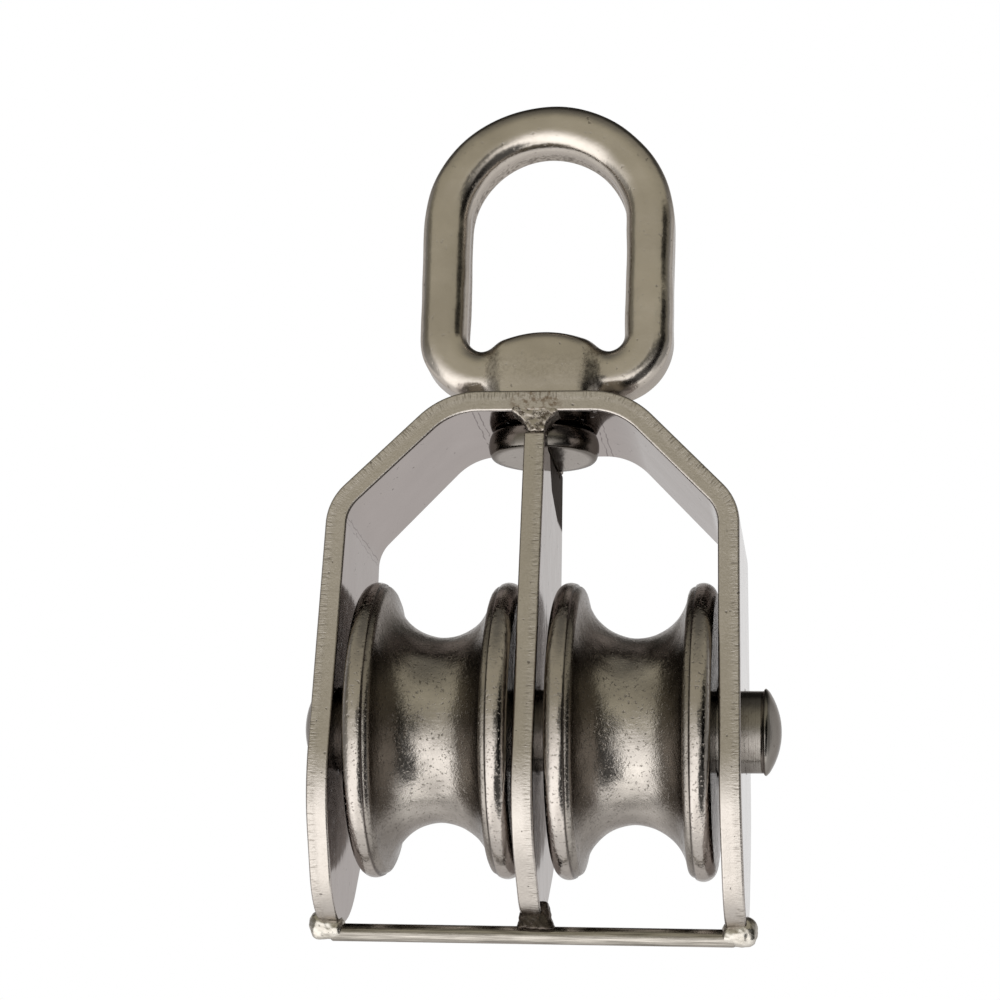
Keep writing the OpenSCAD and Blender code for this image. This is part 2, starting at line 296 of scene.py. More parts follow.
def slab(outline, outward, holes, edge_r, cross=()):
    """Points, normals, faces, edge mark and run of a flat plate with rounded rims, centred on
    n = 0, in its own flat coordinates (s, y, n). Holes are (centre, radius). cross lists pairs
    of outline points that a straight edge joins on both faces, so that the plate can bend."""
    angle = np.radians(np.concatenate([np.linspace(-90, 0, 5), np.linspace(0, 90, 5)]))
    level = np.sign(angle + 1e-9)
    level[4] = -1
    inset = edge_r * (1 - np.cos(angle))
    height = level * (SHEET_T / 2 - edge_r) + edge_r * np.sin(angle)
    loops = [(np.array(outline, float), np.array(outward, float))]
    for centre, radius in holes:
        turn = arc((0, 0), 1, 0, -360, 73)[:-1]
        loops.append((np.array(centre) + radius * turn, -turn))
    points, normals, run, edge, faces = [], [], [], [], []
    caps = []
    for loop, out in loops:
        count = len(loop)
        base = sum(len(p) for p in points)
        step = np.linalg.norm(np.roll(loop, -1, 0) - loop, axis=1)
        length = np.concatenate([[0], np.cumsum(step)[:-1]])
        for j in range(len(angle)):
            flat = loop - out * inset[j]
            points.append(np.column_stack([flat, np.full(count, height[j])]))
            side = out * math.cos(angle[j])
            normals.append(np.column_stack([side, np.full(count, math.sin(angle[j]))]))
            run.append(length)
            edge.append(np.full(count, math.cos(angle[j])))
        for j in range(len(angle) - 1):
            for i in range(count):
                k = (i + 1) % count
                a, b = base + j * count, base + (j + 1) * count
                faces.append([a + i, a + k, b + k, b + i])
        caps.append((base, base + (len(angle) - 1) * count, count))
    points, normals = np.vstack(points), np.vstack(normals)
    for top in (False, True):
        ids = np.concatenate([np.arange(c[top], c[top] + c[2]) for c in caps])
        flat = [Vector(points[i][:2]) for i in ids]
        edges, start = [], 0
        for _, _, count in caps:
            edges += [(start + i, start + (i + 1) % count) for i in range(count)]
            start += count
        edges += list(cross)
        made = delaunay_2d_cdt(flat, edges, [], 1, 1e-6)
        centre = np.array([np.mean([made[0][v] for v in f], axis=0) for f in made[2]])
        keep = np.ones(len(centre), bool)
        for hole, radius in holes:
            keep &= np.linalg.norm(centre - np.array(hole), axis=1) > radius
        source = [ids[o[0]] for o in made[3]]
        for f in np.array(made[2])[keep]:
            faces.append([source[v] for v in (f if top else f[::-1])])
    return points, normals, faces, np.concatenate(edge), np.concatenate(run)


# ---------------------------------------------------------------- the tongue outline


def tongue_side(top, half_waist, drop, tip_r):
    """One side of a tongue, from its tip up to its top, as (height, half width) points."""
    big, rise = CHEEK_W / 2, top + BELLY_DROP
    upper = math.atan2(rise, half_waist) - math.acos(big / math.hypot(half_waist, rise))
    lower = math.asin((big - tip_r) / (drop - tip_r - BELLY_DROP))
    tip = arc((tip_r - drop, 0), tip_r, 180, 90 + math.degrees(lower), 14)
    wide = arc((-BELLY_DROP, 0), big, 90 + math.degrees(lower), 90 - math.degrees(upper), 26)
    return np.vstack([tip, wide, [[top, half_waist]]])


def outward_of(loop):
    """Unit vectors to the right of travel along a closed loop, which point out of it."""
    ahead = np.roll(loop, -1, 0) - np.roll(loop, 1, 0)
    ahead /= np.linalg.norm(ahead, axis=1)[:, None]
    return np.column_stack([ahead[:, 1], -ahead[:, 0]])


# ---------------------------------------------------------------- the strap


def strap_parts():
    """The strap's mid-line from the crown's middle to a cheek's tip: (length, radius, turn)."""
    half = SHEET_T / 2
    corner_x = plate_gap_x() - SHOULDER_H * math.tan(SPLAY)
    rise, reach = CROWN_H - SHOULDER_H, corner_x - CROWN_W / 2
    slope = math.atan2(rise, reach)
    lower_turn = math.pi / 2 - slope - SPLAY
    upper_setback = CROWN_BEND_R * math.tan(slope / 2)
    lower_setback = SHOULDER_BEND_R * math.tan(lower_turn / 2)
    drop = -node_box("strap_frame")[0][2]
    return [
        (CROWN_W / 2 - upper_setback, 0, 0),
        ((CROWN_BEND_R + half) * slope, CROWN_BEND_R + half, slope),
        (math.hypot(rise, reach) - upper_setback - lower_setback, 0, 0),
        ((SHOULDER_BEND_R + half) * lower_turn, SHOULDER_BEND_R + half, lower_turn),
        ((SHOULDER_H + drop) / math.cos(SPLAY) - lower_setback, 0, 0),
    ]


def plate_gap_x():
    """Distance from the centre to a cheek's inner face, at the axle."""
    return node_box("centre_plate")[1][0] + BAY_W


def along_strap(s):
    """Place and heading of the strap's mid-line at distances s from the crown's middle."""
    size = np.abs(s)
    x, z, heading = np.zeros_like(size), np.full_like(size, CROWN_H + SHEET_T / 2), np.zeros_like(size)
    start, at, facing = 0.0, np.array([0, CROWN_H + SHEET_T / 2]), 0.0
    for length, radius, turn in strap_parts():
        here = size >= start
        go = np.minimum(size[here] - start, length)
        if radius:
            a = go / radius
            forward, down = radius * np.sin(a), radius * (1 - np.cos(a))
            heading[here] = facing - a
        else:
            forward, down = go, np.zeros_like(go)
            heading[here] = facing
        ahead = np.array([math.cos(facing), math.sin(facing)])
        under = np.array([ahead[1], -ahead[0]])
        x[here] = at[0] + forward * ahead[0] + down * under[0]
        z[here] = at[1] + forward * ahead[1] + down * under[1]
        if radius:
            at = at + radius * math.sin(turn) * ahead + radius * (1 - math.cos(turn)) * under
            facing -= turn
        else:
            at = at + length * ahead
        start += length
    return x, z, heading


def bend_strap(points, normals):
    """Bends flat strap coordinates (s, y, n) and normals into place."""
    side = np.where(points[:, 0] < 0, -1.0, 1.0)
    x, z, heading = along_strap(points[:, 0])
    out_x, out_z = -np.sin(heading), np.cos(heading)
    placed = np.column_stack(
        [
            side * (x + points[:, 2] * out_x),
            points[:, 1],
            z + points[:, 2] * out_z,
        ]
    )
    go = normals[:, 0] * side
    turned = np.column_stack(
        [
            side * (go * np.cos(heading) + normals[:, 2] * out_x),
            normals[:, 1],
            go * np.sin(heading) + normals[:, 2] * out_z,
        ]
    )
    return placed, turned


def strap():
    """The bent strap: its flat outline as a slab, then bent along the mid-line."""
    ends = np.concatenate([[0], np.cumsum([p[0] for p in strap_parts()])])
    crossed = ends[4] + 3.5
    drop = -node_box("strap_frame")[0][2]
    cheek = tongue_side(CROWN_H + SHEET_T + 1, WAIST_W / 2, drop, TIP_R)
    (wide_z, wide_w), (top, waist) = cheek[-2:]
    cheek = cheek[:-1]
    axle_s = ends[-1] - drop / math.cos(SPLAY)
    s = [axle_s - cheek[:, 0] / math.cos(SPLAY)]
    for start, end, count in (
        (ends[4] + 3, ends[4], 5),
        (ends[4], ends[3], 16),
        (ends[3], ends[2], 5),
        (ends[2], ends[1], 18),
        (ends[1], 0, 7),
    ):
        s.append(np.linspace(start, end, count)[1 if len(s) > 1 else 0 :])
    z = along_strap(np.concatenate(s[1:]))[1]
    w = np.concatenate([cheek[:, 1], waist + (wide_w - waist) * (top - z) / (top - wide_z)])
    s = np.concatenate(s)
    front = np.vstack([np.column_stack([-s, -w]), np.column_stack([s, -w])[::-1][1:]])
    loop = np.vstack([front, (front[::-1] * [1, -1])[1:-1]])
    outward = outward_of(loop)
    flat_zone = np.abs(loop[:, 0]) < crossed
    outward[flat_zone, 0] = 0
    outward[flat_zone, 1] = np.sign(loop[flat_zone, 1])
    last = 2 * len(front) - 2
    cross = [
        (i, last - i)
        for i in range(1, len(front) - 1)
        if PIN_HOLE_R + 2 * EDGE_R < abs(front[i, 0]) < crossed
    ]
    holes = [((0, 0), PIN_HOLE_R), ((axle_s, 0), AXLE_D / 2), ((-axle_s, 0), AXLE_D / 2)]
    flat, normals, faces, edge, run = slab(loop, outward, holes, EDGE_R, cross)
    points, normals = bend_strap(flat, normals)
    return build("Strap", points, faces, normals, {"flat": flat, "edge": edge, "run": run})


# ---------------------------------------------------------------- the centre plate


def round_corner(before, corner, after, radius, count=6):
    """Points that round one corner of an outline."""
    before, corner, after = (np.array(p, float) for p in (before, corner, after))
    a = (before - corner) / np.linalg.norm(before - corner)
    b = (after - corner) / np.linalg.norm(after - corner)
    half = math.acos(np.clip(a @ b, -1, 1)) / 2
    middle = corner + (a + b) / np.linalg.norm(a + b) * radius / math.sin(half)
    start = corner + a * radius / math.tan(half) - middle
    end = corner + b * radius / math.tan(half) - middle
    turn = math.atan2(start[0] * end[1] - start[1] * end[0], start @ end)
    angle = np.linspace(0, turn, count)
    c, s = np.cos(angle), np.sin(angle)
    return middle + np.column_stack([start[0] * c - start[1] * s, start[0] * s + start[1] * c])


def centre_plate():
    """The plate between the sheaves, with the notch that clears the swivel head."""
    low, high = node_box("centre_plate")
    pin_low, pin_high = node_box("swivel_pin")
    notch_floor = pin_low[2] - NOTCH_CLEARANCE
    notch_y = pin_high[0] + NOTCH_CLEARANCE
    side = tongue_side(high[2], WAIST_W / 2, -low[2], PLATE_TIP_R)[:-1]
    waist = WAIST_W / 2
    corners = [
        (high[2], waist),
        (high[2], notch_y),
        (notch_floor, notch_y),
        (notch_floor, -notch_y),
        (high[2], -notch_y),
        (high[2], -waist),
    ]
    ends = [tuple(side[-1])] + corners + [(side[-1][0], -side[-1][1])]
    top = [round_corner(ends[i], ends[i + 1], ends[i + 2], 0.4) for i in range(len(corners))]
    half = np.vstack([side] + top)
    loop = np.vstack([half, (side * [1, -1])[::-1][:-1]])[::-1]
    holes = [((0, 0), AXLE_D / 2)]
    flat, normals, faces, edge, run = slab(loop, outward_of(loop), holes, EDGE_R)
    points = np.column_stack([flat[:, 2], -flat[:, 1], flat[:, 0]])
    normals = np.column_stack([normals[:, 2], -normals[:, 1], normals[:, 0]])
    return build("Centre_plate", points, faces, normals, {"flat": flat, "edge": edge, "run": run})


# ---------------------------------------------------------------- turned and cast pieces


def sheave(name, node):
    """A cast sheave: polished rims outside a crease, and an as-cast groove between two lips."""
    low, high = node_box(node)
    middle, half, outer = (low[0] + high[0]) / 2, (high[0] - low[0]) / 2, high[2]
    bore = AXLE_D / 2 + SHEAVE_CLEARANCE
    steps = 180
    rim_r, lip_r, chamfer = 1.45, 0.77, 0.4
    rim = np.array([half - rim_r, outer - rim_r])
    rounded = arc(rim, rim_r, 0, 119, 16)
    crease = rounded[-1] + [-0.02, -0.2]
    lip = crease - [0.01, lip_r]
    groove = np.array([0, ROOT_D / 2 + GROOVE_R])
    reach = lip - groove
    turn = math.atan2(reach[1], reach[0]) - math.acos((GROOVE_R + lip_r) / math.hypot(*reach))
    turn = math.degrees(turn)
    right = np.vstack(
        [
            [[half - chamfer, bore], [half, bore + chamfer]],
            np.linspace([half, bore + 2 * chamfer], [half, rim[1] - 0.3], 10),
            rounded,
            [crease],
            arc(lip, lip_r, 90, 180 + turn, 10)[1:],
            arc(groove, GROOVE_R, turn, -90, 26)[:-1],
        ]
    )
    left = right[::-1] * [-1, 1]
    bore_line = np.linspace([-half + chamfer, bore], [half - chamfer, bore], 8)[1:-1]
    profile = np.vstack([right, [[0, ROOT_D / 2]], left, bore_line, right[:1]])
    points, faces = lathe(profile, steps)
    keep = len(points) - steps
    faces = [[v % keep for v in f] for f in faces]
    points = points[:keep]
    along, radius = points[:, 0], np.hypot(points[:, 1], points[:, 2])
    cast = np.clip((radius - ROOT_D / 2 + 0.5) / 0.4, 0, 1) * (np.abs(along) < half - 0.02)
    polish = np.clip((np.abs(along) - (abs(crease[0]) - 0.06)) / 0.12, 0, 1)
    uneven = 0.045 * lumps(points, 9, 1) + 0.02 * lumps(points, 3.2, 2)
    scale = (radius + uneven * cast * (1 - 0.6 * polish) - 0.05 * cast) / radius
    points = np.column_stack([along + middle, points[:, 1] * scale, points[:, 2] * scale])
    # Painted shade: a dark line along the crease between each rim and the groove.
    crease_shade = np.clip(1 - np.abs(np.abs(along) - abs(crease[0]) - 0.02) / 0.16, 0, 1) * (radius > lip[1])
    # Painted shade on the groove's walls, where they face each other.
    wall = np.clip((np.abs(along) - 3.0) / 1.2, 0, 1) * (1 - polish)
    marks = {"polish": polish * (radius > bore + 1), "crease_shade": crease_shade, "wall": wall}
    return build(name, points, faces, None, marks)


def axle():
    """The axle with a rimmed dome on each end."""
    low, high = node_box("axle")
    cap_r, r, steps = high[2], AXLE_D / 2, 96

    def end(tip, sign):
        ball = (cap_r**2 + AXLE_DOME**2) / (2 * AXLE_DOME)
        half = math.degrees(math.asin(cap_r / ball))
        crown = arc((tip - ball, 0), ball, half, 0, 14)
        foot = tip - AXLE_DOME - 0.35
        side = [[foot - 0.02, r], [foot, cap_r - 0.12], [foot + 0.1, cap_r], [crown[0][0] - 0.1, cap_r]]
        return np.vstack([side, crown[1:-1]]) * [sign, 1]

    right, left = end(high[0], 1), end(-low[0], -1)
    middle = np.linspace([left[0][0] + 0.3, r], [right[0][0] - 0.3, r], 30)
    points, faces = lathe(np.vstack([left[::-1], middle, right]), steps)
    points, faces = close_lathe(points, faces, steps)
    points[-2][0], points[-1][0] = low[0], high[0]
    return build("Axle", points, faces)


def guard_rod():
    """The rod across the lower tips, a little rounded at its ends."""
    low, high = node_box("guard_rod")
    r, half, h = (high[2] - low[2]) / 2, high[0], (high[2] + low[2]) / 2
    round_r, steps = 0.3, 40
    end = arc((half - round_r, r - round_r), round_r, 90, 0, 5)
    middle = np.linspace([-half + 1, r], [half - 1, r], 60)
    points, faces = lathe(np.vstack([(end * [-1, 1])[::-1], middle, end]), steps)
    points, faces = close_lathe(points, faces, steps)
    points += [0, 0, h]
    return build("Guard_rod", points, faces)


def swivel_pin():
    """The pin, lathed along X and then stood up, with its bulging head at the bottom."""
    low, high = node_box("swivel_pin")
    head_t, bulge, shank_r, steps = 2.7, 0.35, 3.1, 96
    face_r, bottom, top = high[0] - bulge, low[2], low[2] + head_t
    ball = ((head_t / 2) ** 2 + bulge**2) / (2 * bulge)
    half = math.degrees(math.asin(head_t / 2 / ball))
    side = arc((bottom + head_t / 2, high[0] - ball), ball, 90 + half, 90 - half, 14)[1:-1]
    face = [[bottom, face_r * k] for k in (0.35, 0.7, 0.93)] + [[bottom + 0.03, face_r - 0.05]]
    back = [[top, face_r - 0.2], [top, shank_r + 0.3], [top + 0.1, shank_r]]
    shank = [[z, shank_r] for z in (top + 1.2, top + 2.4, high[2] - 0.3)]
    points, faces = lathe(np.vstack([face, side, back, shank]), steps)
    points, faces = close_lathe(points, faces, steps)
    points[-2][0], points[-1][0] = bottom, high[2]
    points = points[:, [2, 1, 0]]
    faces = [f[::-1] for f in faces]
    return build("Swivel_pin", points, faces)


def box_distance(p, half, radius):
    """Distance to a rounded rectangle or block with those half sizes."""
    q = np.abs(p) - (np.array(half) - radius)
    return np.linalg.norm(np.maximum(q, 0), axis=1) + np.minimum(q.max(1), 0) - radius


def blend_min(a, b, k):
    """Union of two distances with a fillet about k wide."""
    return np.minimum(a, b) - np.maximum(k - np.abs(a - b), 0) ** 2 / (4 * k)


def blend_max(a, b, k):
    """Intersection of two distances with a rounding about k wide."""
    return -blend_min(-a, -b, k)


def eye():
    """The cast eye: a ring of rounded section run into the domed boss with a fillet."""
    low, high = node_box("swivel_eye")
    bearing_h = -AXLE[2] / MM
    ring_t = high[2] - bearing_h
    ring_x = high[0] - ring_t / 2
    arch_h = bearing_h - (high[0] - ring_t)
    foot_h = EYE_FOOT_H + ring_t / 2
    boss_r = math.hypot(BOSS_W, high[1] * 2) / 2
    dome_top = BOSS_H + BOSS_DOME
    dome_r = (boss_r**2 + BOSS_DOME**2) / (2 * BOSS_DOME)

    def in_plane(p):
        x, z = np.abs(p[:, 0]), p[:, 2]
        arch = np.hypot(x, z - arch_h) - ring_x
        q = np.column_stack([x - (ring_x - RING_BEND_R), foot_h + RING_BEND_R - z])
        lower = np.linalg.norm(np.maximum(q, 0), axis=1) + np.minimum(q.max(1), 0) - RING_BEND_R
        return np.where(z > arch_h, arch, lower)

    def ring(p):
        section = np.column_stack([in_plane(p), p[:, 1]])
        return box_distance(section, (ring_t / 2, RING_DEPTH / 2), RING_CORNER_R)

    def boss(p):
        plan = box_distance(p[:, :2], (BOSS_W / 2, high[1]), BOSS_CORNER_R)
        dome = np.linalg.norm(p - [0, 0, dome_top - dome_r], axis=1) - dome_r
        return blend_max(blend_max(plan, dome, 0.9), low[2] - p[:, 2], 0.5)

    def distance(p):
        body = blend_min(ring(p), boss(p), 2.2)
        uneven = 0.05 * lumps(p, 11, 5) + 0.018 * lumps(p, 3.5, 6)
        return body + 0.05 + uneven

    points, faces, normals = skin(distance, low - 0.6, high + 0.6, 0.3)
    inner = np.clip(-in_plane(points) / (ring_t / 2), 0, 1)
    on_ring = np.clip(1 - np.maximum(ring(points) - 0.3, 0) / 0.4, 0, 1)
    joint = np.clip(1.15 - np.abs(ring(points) - boss(points)) / 1.3, 0, 1)
    return build("Eye", points, faces, normals, {"inner": inner * on_ring, "joint": joint})


def crown_weld(name, node):
    """The tapering weld under the crown, run up over most of the strap's edge."""
    low, high = node_box(node)
    foot, top = low[2], high[2]
    high[2] += 0.75 * SHEET_T
    if low[1] > 0:
        high[1] += WELD_PROUD
    else:
        low[1] -= WELD_PROUD
    middle = (low + high) / 2
    foot_half, foot_shift = 1.0, 0.15

    def distance(p):
        up = np.clip((p[:, 2] - foot) / (top - foot), 0, 1)
        over = np.clip((p[:, 2] - top) / (high[2] - top), 0, 1)
        half = foot_half + (high[0] - foot_half) * up**2.2 - 0.9 * over**2
        wide = (np.abs(p[:, 0] - foot_shift * (1 - up)) - half) * 0.8
        deep = np.abs(p[:, 1] - middle[1]) - (high[1] - low[1]) / 2
        tall = np.abs(p[:, 2] - middle[2]) - (high[2] - low[2]) / 2
        body = blend_max(blend_max(wide, deep, 0.25), tall, 0.4)
        return body + 0.03 * lumps(p, 1.6, 8) + 0.02 * lumps(p, 0.7, 9)

    points, faces, normals = skin(distance, low - 0.5, high + 0.5, 0.12)
    return build(name, points, faces, normals)


def rod_end_weld(name, node):
    """A collar about the rod's end, with a bead over its outer side."""
    low, high = node_box(node)
    middle, r = (low + high) / 2, (high[2] - low[2]) / 2
    out = 1 if middle[0] > 0 else -1
    edge = np.where(out > 0, high, low)[0]

    def distance(p):
        q = (p - middle) * [out, 1, 1]
        section = np.column_stack([q[:, 0], np.hypot(q[:, 1], q[:, 2] + 0.3)])
        collar = box_distance(section, ((high[0] - low[0]) / 2 - 0.15, r - 0.35), 0.9)
        bead = (p - [edge - 1.35 * out, 0, middle[2] + 0.3]) / [1.3, 1.65, r - 0.32]
        bead = (np.linalg.norm(bead, axis=1) - 1) * 1.2
        body = blend_min(collar, bead, 0.6)
        return body + 0.05 + 0.05 * lumps(p, 1.8, 11) + 0.02 * lumps(p, 0.6, 12)

    points, faces, normals = skin(distance, low - 0.4, high + 0.4, 0.12)
    return build(name, points, faces, normals)


def centre_rod_weld():
    """The dark fillet under the centre plate, larger on its right."""
    low, high = node_box("centre_rod_weld")
    high[2] += 0.7
    middle = (low + high) / 2

    def distance(p):
        down = np.clip((high[2] - p[:, 2]) / (high[2] - low[2]), 0, 1)
        flare = SHEET_T / 2 + 0.15 + (high[0] - SHEET_T / 2 - 0.15) * down**1.5
        wide = np.where(p[:, 0] > 0, p[:, 0] - 1.3 * flare, -p[:, 0] - 0.8 * flare)
        deep = np.abs(p[:, 1]) - high[1] * (0.8 + 0.2 * down)
        tall = np.abs(p[:, 2] - middle[2]) - (high[2] - low[2]) / 2
        body = blend_max(blend_max(wide * 0.8, deep, 0.9), tall, 0.3)
        return body + 0.05 * lumps(p, 1.5, 14) + 0.03 * lumps(p, 0.6, 15)

    points, faces, normals = skin(distance, low - 0.9, high + 0.9, 0.12)
    return build("Centre_rod_weld", points, faces, normals)


# ---------------------------------------------------------------- finishes


class Nodes:
    """Short calls that add shader nodes to a tree. Values are numbers, colours or sockets."""

    def __init__(self, tree):
        self.tree = tree

    def put(self, socket, value):
        if isinstance(value, bpy.types.NodeSocket):
            self.tree.links.new(value, socket)
        elif isinstance(value, tuple) and socket.type == "RGBA":
            socket.default_value = (*value, 1)
        else:
            socket.default_value = value

    def node(self, kind, values, output=0, **settings):
        node = self.tree.nodes.new("ShaderNode" + kind)
        for name, value in settings.items():
            setattr(node, name, value)
        for key, value in values.items():
            self.put(node.inputs[key], value)
        return node.outputs[output]

    def math(self, operation, a, b=0.0):
        return self.node("Math", {0: a, 1: b}, operation=operation)

    def times(self, a, b):
        return self.math("MULTIPLY", a, b)

    def plus(self, a, b):
        return self.math("ADD", a, b)

    def minus(self, a, b):
        return self.math("SUBTRACT", a, b)

    def split(self, vector):
        node = self.tree.nodes.new("ShaderNodeSeparateXYZ")
        self.put(node.inputs[0], vector)
        return tuple(node.outputs)

    def join(self, x, y, z):
        return self.node("CombineXYZ", {0: x, 1: y, 2: z})

    def range(self, value, start, end, low=0.0, high=1.0, smooth=False):
        kind = "SMOOTHSTEP" if smooth else "LINEAR"
        values = {0: value, 1: start, 2: end, 3: low, 4: high}
        return self.node("MapRange", values, interpolation_type=kind)

    def mix(self, factor, a, b):
        return self.node("Mix", {0: factor, 6: a, 7: b}, 2, data_type="RGBA")

    def both(self, a, b):
        """Where two masks meet."""
        return self.math("MINIMUM", a, b)


class Finish(Nodes):
    """A metal made of nodes. Sizes are in millimetres."""

    def __init__(self, name, metallic=1.0):
        self.material = bpy.data.materials.new(name)
        self.material.use_nodes = True
        super().__init__(self.material.node_tree)
        self.shader = self.tree.nodes["Principled BSDF"]
        self.shader.inputs["Metallic"].default_value = metallic
        self.shader.inputs["Specular Tint"].default_value = (*EDGE_TINT, 1)
        self.place = self.tree.nodes.new("ShaderNodeTexCoord").outputs["Object"]

    def set(self, **inputs):
        for name, value in inputs.items():
            self.put(self.shader.inputs[name.replace("_", " ")], value)

    def mark(self, name, output="Fac"):
        return self.node("Attribute", {}, output, attribute_name=name)

    def noise(self, size, detail=3.0, rough=0.55, place=None):
        """Noise of about one size. A place of its own is in millimetres."""
        scale = 1 / size if place else 1 / (size * MM)
        values = {"Vector": place or self.place, "Scale": scale, "Detail": detail, "Roughness": rough}
        return self.node("TexNoise", values, "Fac")

    def bump(self, height, depth, normal=None):
        values = {"Distance": depth * MM, "Height": height}
        if normal:
            values["Normal"] = normal
        return self.node("Bump", values)

    def height_mm(self, output):
        """A coordinate of this point from the axle's centre, in millimetres."""
        value = self.split(self.place)[output]
        return self.times(self.minus(value, float(AXLE[output])), 1 / MM)


def sheet_steel(name, more):
    """Sheet with polished faces and sheared edges. more() adds the marks of one piece."""
    f = Finish(name)
    edge = f.mark("edge")
    s, y, n = f.split(f.mark("flat", "Vector"))
    run = f.mark("run")
    outer = f.range(n, -0.1, 0.5, 0.12, 1, True)
    shear = f.noise(0.16, 2, 0.6, f.join(run, f.times(n, 0.14), f.times(y, 0.02)))
    cuts = f.times(f.range(shear, 0.45, 0.33), f.times(f.both(outer, edge), 0.6))
    shear = f.times(shear, f.both(outer, edge))
    scratch = f.noise(0.14, 2, 0.6, f.join(f.times(s, 0.05), y, n))
    lines = f.range(f.noise(0.5, 1, 0.5, f.join(f.times(s, 0.05), y, n)), 0.70, 0.73)
    broad = f.noise(6, 3)
    fine = f.noise(0.25, 3)
    pits = f.range(f.noise(0.75, 2), 0.70, 0.75)
    face = f.mix(broad, *FACE_COLOURS)
    mottle = f.plus(f.times(fine, 0.6), f.times(f.noise(1.6, 3), 0.4))
    rim = f.mix(mottle, *EDGE_COLOURS)
    rim = f.mix(f.times(f.range(shear, 0.45, 0.62), 0.30), rim, (0.58, 0.545, 0.50))
    rim = f.mix(cuts, rim, (0.15, 0.13, 0.11))
    colour = f.mix(edge, face, rim)
    colour = f.mix(f.times(pits, 0.75), colour, (0.10, 0.085, 0.075))
    face_rough = f.plus(f.range(scratch, 0.35, 0.7, 0.075, 0.12), f.times(lines, 0.05))
    edge_rough = f.range(f.plus(shear, fine), 0.3, 1.3, 0.27, 0.42)
    rough = f.plus(face_rough, f.times(edge, f.minus(edge_rough, face_rough)))
    colour, rough = more(f, colour, rough, s, y, n)
    f.set(Base_Color=colour, Roughness=rough)
    normal = f.bump(broad, 0.05)
    normal = f.bump(shear, 0.055, normal)
    normal = f.bump(f.times(scratch, f.minus(1.0, edge)), 0.0006, normal)
    normal = f.bump(f.times(fine, edge), 0.03, normal)
    f.set(Normal=f.bump(pits, -0.02, normal))
    return f.material


def press_lines(f, colour, rough, s, y, n):
    """Thin dark lines that the press left across the inside of the bends."""
    inside = f.range(n, -0.9, -1.1)
    ends = np.cumsum([p[0] for p in strap_parts()])
    wave = f.plus(f.math("ABSOLUTE", s), f.times(f.minus(f.noise(2.5, 2), 0.5), 0.9))
    lines = 0.0
    for at in (ends[0] + 0.2, ends[0] + 0.9, ends[3] - 0.8, ends[3] - 0.1):
        away = f.math("ABSOLUTE", f.minus(wave, float(at)))
        lines = f.math("MAXIMUM", f.range(away, 0.10, 0.03), lines)
    lines = f.times(f.times(lines, inside), f.range(f.noise(1.8, 2), 0.35, 0.5))
    colour = f.mix(f.times(lines, 0.75), colour, (0.12, 0.10, 0.10))
    return weld_stain(f, colour, rough, s)


def weld_stain(f, colour, rough, s):
    """The strap's edges at the crown, where the welds have run into them."""
    near = f.plus(f.math("ABSOLUTE", s), f.times(f.minus(f.noise(1.2, 3), 0.5), 3.0))
    near = f.times(f.range(near, 3.2, 2.0), f.mark("edge"))
    stain = f.range(f.noise(0.6, 4, 0.6), 0.46, 0.60)
    colour = f.mix(f.times(near, f.times(stain, 0.75)), colour, (0.16, 0.11, 0.07))
    return colour, f.plus(rough, f.times(near, 0.06))


def dark_streak(f, colour, rough, s, y, n):
    """A dark, rough, tapering streak on the rear part of the centre plate's right face."""
    wobble = f.times(f.minus(f.noise(1.5, 3), 0.5), 1.2)
    start = f.plus(f.range(s, 24.5, 26.3, 4.0, -2.0), f.range(s, 26.3, 30.0, 0.0, -3.0))
    away = f.minus(f.times(y, -1.0), f.plus(start, wobble))
    tail = f.both(f.range(away, 0.0, 0.4), f.range(s, 24.2, 24.6))
    tail = f.both(tail, f.range(n, 0.9, 1.1))
    scale = f.mix(f.noise(0.8, 3), (0.012, 0.010, 0.008), (0.06, 0.045, 0.035))
    colour = f.mix(f.times(tail, 0.97), colour, scale)
    return colour, f.plus(rough, f.times(tail, 0.6))


def cast_sheave(name):
    """Cast steel: pitted, with painted shade on the groove's walls and along the creases by the rims,
    polished on the rims.
    """
    f = Finish(name)
    polish = f.mark("polish")
    broad = f.noise(4.5, 4)
    grain = f.noise(0.21, 3, 0.6)
    spots = f.range(f.noise(0.32, 3), 0.60, 0.70)
    groove = f.mix(f.range(broad, 0.35, 0.68), (0.28, 0.255, 0.23), (0.44, 0.405, 0.365))
    rim = f.mix(broad, (0.33, 0.30, 0.27), (0.46, 0.42, 0.385))
    colour = f.mix(polish, groove, rim)
    colour = f.mix(f.times(spots, f.range(polish, 0, 1, 0.6, 0.35)), colour, (0.08, 0.065, 0.05))
    # Painted shade darkens the groove's walls.
    colour = f.mix(f.times(f.mark("wall"), 0.45), colour, (0.13, 0.115, 0.10))
    # Painted shade darkens the creases by the rims.
    colour = f.mix(f.times(f.mark("crease_shade"), 0.85), colour, (0.05, 0.04, 0.035))
    rough = f.range(polish, 0, 1, 0.20, 0.15)
    rough = f.plus(rough, f.range(grain, 0.3, 0.7, -0.05, 0.08))
    f.set(Base_Color=colour, Roughness=rough)
    normal = f.bump(f.noise(2.2, 3), 0.10)
    normal = f.bump(f.times(grain, f.range(polish, 0, 1, 1.0, 0.5)), 0.032, normal)
    f.set(Normal=f.bump(spots, -0.03, normal))
    return f.material


